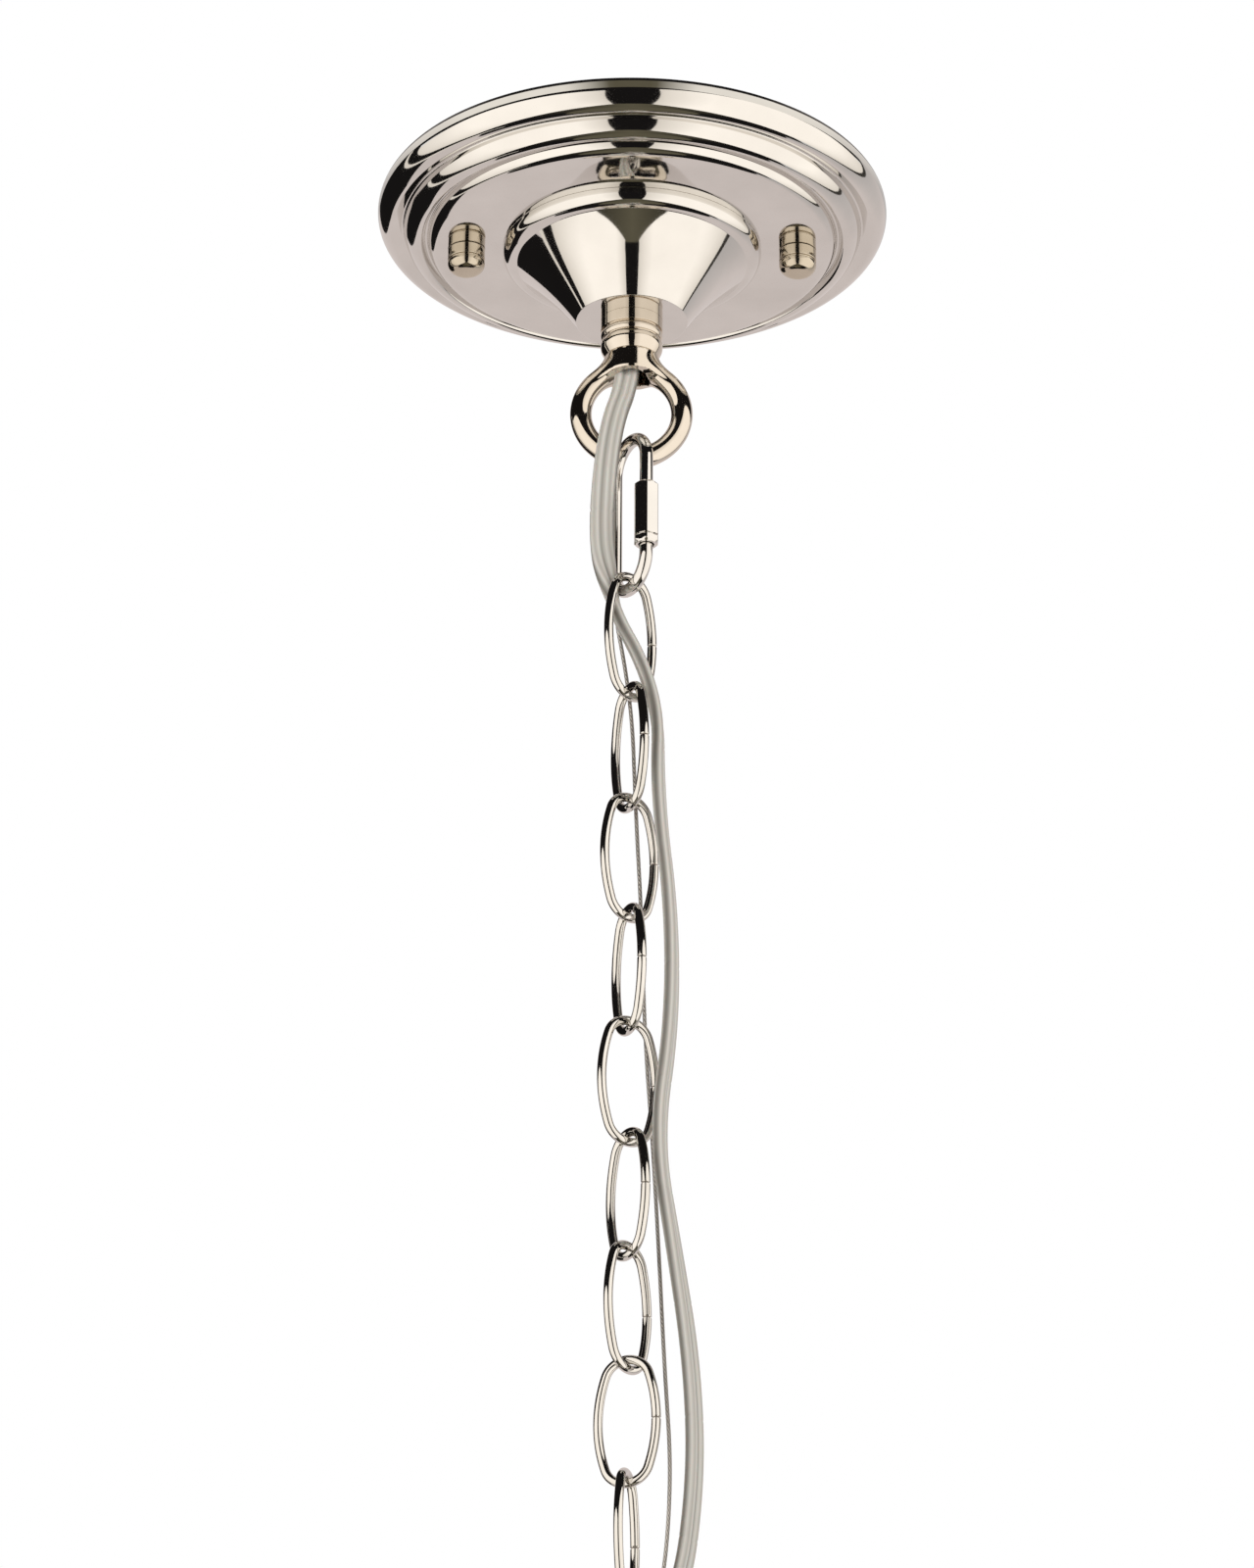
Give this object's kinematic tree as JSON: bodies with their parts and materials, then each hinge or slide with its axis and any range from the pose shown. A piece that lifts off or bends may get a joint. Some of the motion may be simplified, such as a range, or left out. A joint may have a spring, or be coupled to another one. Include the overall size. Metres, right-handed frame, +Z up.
{
  "type": "chain pendant suspension",
  "caption": "Polished ceiling canopy with a cone cover, cap nuts and a cast loop, carrying a quick link, oval chain, flat cord and earth wire down to a lower loop.",
  "frame": {"origin": "centre of the canopy on the ceiling plane, midway between the strap's slots", "axes": "+Z up into the ceiling, +X along the strap to the right-hand cap nut, +Y away from the viewer"},
  "size_m": [0.13, 0.13, 0.4452],
  "materials": {
    "nickel": "polished nickel plate",
    "warm_nickel": "polished nickel plate with a warm tint",
    "chain_nickel": "polished nickel plated wire",
    "brass_nut": "polished",
    "brass_screw": "plain",
    "zinc_steel": "zinc plated",
    "cord_jacket": "translucent flexible jacket over stranded wire",
    "core_sleeve": "translucent core insulation",
    "tinned_copper": "bare tinned copper wire",
    "connector_plastic": "moulded"
  },
  "bodies": {
    "canopy": {"mounting_bracket": "zinc_steel", "canopy_studs": "zinc_steel", "stud_lock_nuts": "zinc_steel", "earth_screw": "brass_screw", "canopy_shell": "nickel", "canopy_cone": "nickel", "canopy_loop": "warm_nickel", "loop_nipple": "zinc_steel", "nipple_washer": "zinc_steel", "nipple_nut": "zinc_steel", "core_leads": "core_sleeve", "wire_connectors": "connector_plastic", "earth_tail": "tinned_copper", "flat_cord_00": "cord_jacket", "earth_wire_00": "tinned_copper"},
    "cap_nut_left": {"cap_nut_left": "brass_nut"},
    "cap_nut_right": {"cap_nut_right": "brass_nut"},
    "quick_link": {"quick_link": "nickel", "flat_cord_01": "cord_jacket", "earth_wire_01": "tinned_copper"},
    "quick_link_sleeve": {"quick_link_sleeve": "nickel"},
    "chain_link_1": {"chain_link_1": "chain_nickel", "flat_cord_02": "cord_jacket", "earth_wire_02": "tinned_copper"},
    "chain_link_2": {"chain_link_2": "chain_nickel", "flat_cord_03": "cord_jacket", "earth_wire_03": "tinned_copper"},
    "chain_link_3": {"chain_link_3": "chain_nickel", "flat_cord_04": "cord_jacket", "earth_wire_04": "tinned_copper"},
    "chain_link_4": {"chain_link_4": "chain_nickel", "flat_cord_05": "cord_jacket", "earth_wire_05": "tinned_copper"},
    "chain_link_5": {"chain_link_5": "chain_nickel", "flat_cord_06": "cord_jacket", "earth_wire_06": "tinned_copper"},
    "chain_link_6": {"chain_link_6": "chain_nickel", "flat_cord_07": "cord_jacket", "earth_wire_07": "tinned_copper"},
    "chain_link_7": {"chain_link_7": "chain_nickel", "flat_cord_08": "cord_jacket", "earth_wire_08": "tinned_copper"},
    "chain_link_8": {"chain_link_8": "chain_nickel", "flat_cord_09": "cord_jacket", "earth_wire_09": "tinned_copper"},
    "chain_link_9": {"chain_link_9": "chain_nickel", "flat_cord_10": "cord_jacket", "earth_wire_10": "tinned_copper"},
    "lower_loop": {"lower_loop": "warm_nickel", "lower_nipple": "zinc_steel"}
  },
  "joints": [
    {"name": "cap_nut_left_turn", "type": "hinge", "parent": "canopy", "child": "cap_nut_left", "pos_m": [-0.0423, 0, -0.0146], "axis": [0, 0, 1], "continuous": true},
    {"name": "cap_nut_right_turn", "type": "hinge", "parent": "canopy", "child": "cap_nut_right", "pos_m": [0.0423, 0, -0.0146], "axis": [0, 0, 1], "continuous": true},
    {"name": "quick_link_swing", "type": "hinge", "parent": "canopy", "child": "quick_link", "pos_m": [0, 0, -0.07515], "axis": [1, 0, 0], "range_deg": [-30, 30], "deforming": ["flat_cord_00", "earth_wire_00"]},
    {"name": "chain_link_1_swing", "type": "hinge", "parent": "quick_link", "child": "chain_link_1", "pos_m": [0, 0, -0.1127], "axis": [0.5299, -0.848, 0], "range_deg": [-30, 30], "deforming": ["flat_cord_01", "earth_wire_01"]},
    {"name": "chain_link_2_swing", "type": "hinge", "parent": "chain_link_1", "child": "chain_link_2", "pos_m": [0, 0, -0.1436], "axis": [0.7314, 0.682, 0], "range_deg": [-30, 30], "deforming": ["flat_cord_02", "earth_wire_02"]},
    {"name": "chain_link_3_swing", "type": "hinge", "parent": "chain_link_2", "child": "chain_link_3", "pos_m": [0, 0, -0.1751], "axis": [0.4848, -0.8746, 0], "range_deg": [-30, 30], "deforming": ["flat_cord_03", "earth_wire_03"]},
    {"name": "chain_link_4_swing", "type": "hinge", "parent": "chain_link_3", "child": "chain_link_4", "pos_m": [0, 0, -0.2066], "axis": [0.829, 0.5592, 0], "range_deg": [-30, 30], "deforming": ["flat_cord_04", "earth_wire_04"]},
    {"name": "chain_link_5_swing", "type": "hinge", "parent": "chain_link_4", "child": "chain_link_5", "pos_m": [0, 0, -0.2381], "axis": [0.4305, -0.9026, 0], "range_deg": [-30, 30], "deforming": ["flat_cord_05", "earth_wire_05"]},
    {"name": "chain_link_6_swing", "type": "hinge", "parent": "chain_link_5", "child": "chain_link_6", "pos_m": [0, 0, -0.2696], "axis": [0.8942, 0.4478, 0], "range_deg": [-30, 30], "deforming": ["flat_cord_06", "earth_wire_06"]},
    {"name": "chain_link_7_swing", "type": "hinge", "parent": "chain_link_6", "child": "chain_link_7", "pos_m": [0, 0, -0.3011], "axis": [0.5793, -0.8151, 0], "range_deg": [-30, 30], "deforming": ["flat_cord_07", "earth_wire_07"]},
    {"name": "chain_link_8_swing", "type": "hinge", "parent": "chain_link_7", "child": "chain_link_8", "pos_m": [0, 0, -0.3326], "axis": [0.6455, 0.7638, 0], "range_deg": [-30, 30], "deforming": ["flat_cord_08", "earth_wire_08"]},
    {"name": "chain_link_9_swing", "type": "hinge", "parent": "chain_link_8", "child": "chain_link_9", "pos_m": [0, 0, -0.3641], "axis": [0.9613, -0.2756, 0], "range_deg": [-30, 30], "deforming": ["flat_cord_09", "earth_wire_09"]},
    {"name": "lower_loop_swing", "type": "hinge", "parent": "chain_link_9", "child": "lower_loop", "pos_m": [0, 0, -0.3956], "axis": [0.2807, 0.9598, 0], "range_deg": [-30, 30], "deforming": ["flat_cord_10", "earth_wire_10"]},
    {"name": "sleeve_unscrew", "type": "slide", "parent": "quick_link", "child": "quick_link_sleeve", "axis": [0, 0, 1], "range_m": [0, 0.0065]}
  ]
}
